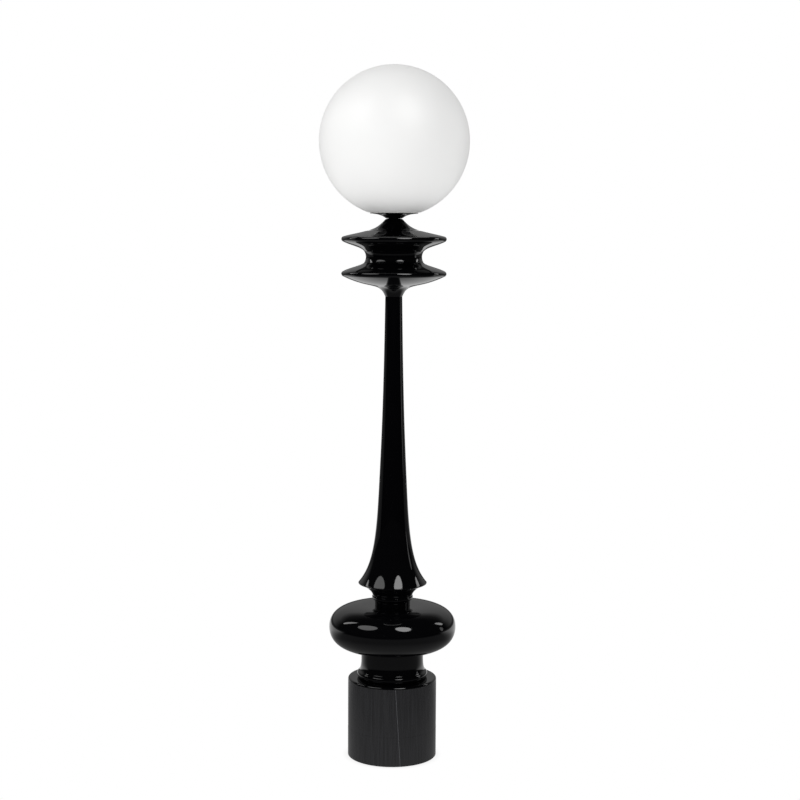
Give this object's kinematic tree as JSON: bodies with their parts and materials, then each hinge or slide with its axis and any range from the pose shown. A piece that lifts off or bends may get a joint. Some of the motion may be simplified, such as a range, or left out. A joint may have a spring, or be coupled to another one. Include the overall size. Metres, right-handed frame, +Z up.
{
  "type": "globe floor lamp",
  "caption": "Floor lamp: opal glass globe on a shallow dish, over a turned black lacquered stem of broad discs, a trumpet column, a cushion shaped foot and a drum base.",
  "frame": {"origin": "on the floor, on the lamp's axis, at the centre of the footprint", "axes": "+Z up; +Y to the rear, where the cord inlet is; the front of the picture is -Y; +X to its right"},
  "size_m": [0.3, 0.2998, 1.4011],
  "materials": {
    "black_lacquer": "sprayed gloss lacquer over turned hardwood",
    "black_enamel": "gloss black enamel on spun metal",
    "opal_glass": "blown opal glass, etched to a soft satin",
    "grey_felt": "pressed felt",
    "zinc_steel": "bright zinc plate",
    "cast_iron": "as cast, primed",
    "black_nylon": "moulded nylon",
    "block_plastic": "moulded polyamide",
    "brass": "bright",
    "lead_brown": "smooth insulation",
    "lead_blue": "smooth insulation",
    "lead_green": "smooth insulation, green with a yellow stripe",
    "silicone": "moulded silicone",
    "spring_steel": "rolled and tempered",
    "black_phenolic": "moulded phenolic",
    "steatite": "fired, unglazed",
    "nickel_shell": "bright nickel",
    "black_glass": "fused black glass",
    "solder": "dull tin",
    "white_plastic": "moulded",
    "board_white": "white solder mask",
    "opal_plastic": "satin opal"
  },
  "bodies": {
    "lamp": {"foot_ring": "black_lacquer", "drum_side": "black_lacquer", "drum_top": "black_lacquer", "base_neck": "black_lacquer", "base_cushion": "black_lacquer", "collar": "black_lacquer", "column": "black_lacquer", "lower_disc": "black_lacquer", "disc_waist": "black_lacquer", "upper_disc": "black_lacquer", "upper_neck": "black_lacquer", "globe_dish": "black_enamel", "foot_pads": "grey_felt", "base_plate": "zinc_steel", "plate_screws": "zinc_steel", "weight_bolts": "zinc_steel", "block_screws": "zinc_steel", "stem_tube": "zinc_steel", "bottom_washer": "zinc_steel", "bottom_nut": "zinc_steel", "top_washer": "zinc_steel", "top_nut": "zinc_steel", "gallery_plate": "zinc_steel", "clip_rivets": "zinc_steel", "base_weight": "cast_iron", "cord_inlet": "black_nylon", "inlet_nut": "black_nylon", "terminal_block": "block_plastic", "pole_screws": "brass", "screw_shell": "brass", "centre_contact": "brass", "lead_live": "lead_brown", "lead_neutral": "lead_blue", "lead_earth": "lead_green", "globe_gasket": "silicone", "spring_clips": "spring_steel", "holder_cap": "black_phenolic", "holder_shell": "black_phenolic", "holder_core": "steatite"},
    "bulb": {"bulb_cap": "nickel_shell", "bulb_insulator": "black_glass", "bulb_contact": "solder", "bulb_body": "white_plastic", "led_board": "board_white", "bulb_diffuser": "opal_plastic"},
    "globe": {"globe": "opal_glass"}
  },
  "joints": [
    {"name": "globe_lift", "type": "slide", "parent": "lamp", "child": "globe", "axis": [0, 0, 1], "range_m": [0, 0.16]},
    {"name": "bulb_turn", "type": "hinge", "parent": "lamp", "child": "bulb", "pos_m": [0, 0, 1.154], "axis": [0, 0, 1], "range_deg": [0, 1800]}
  ]
}
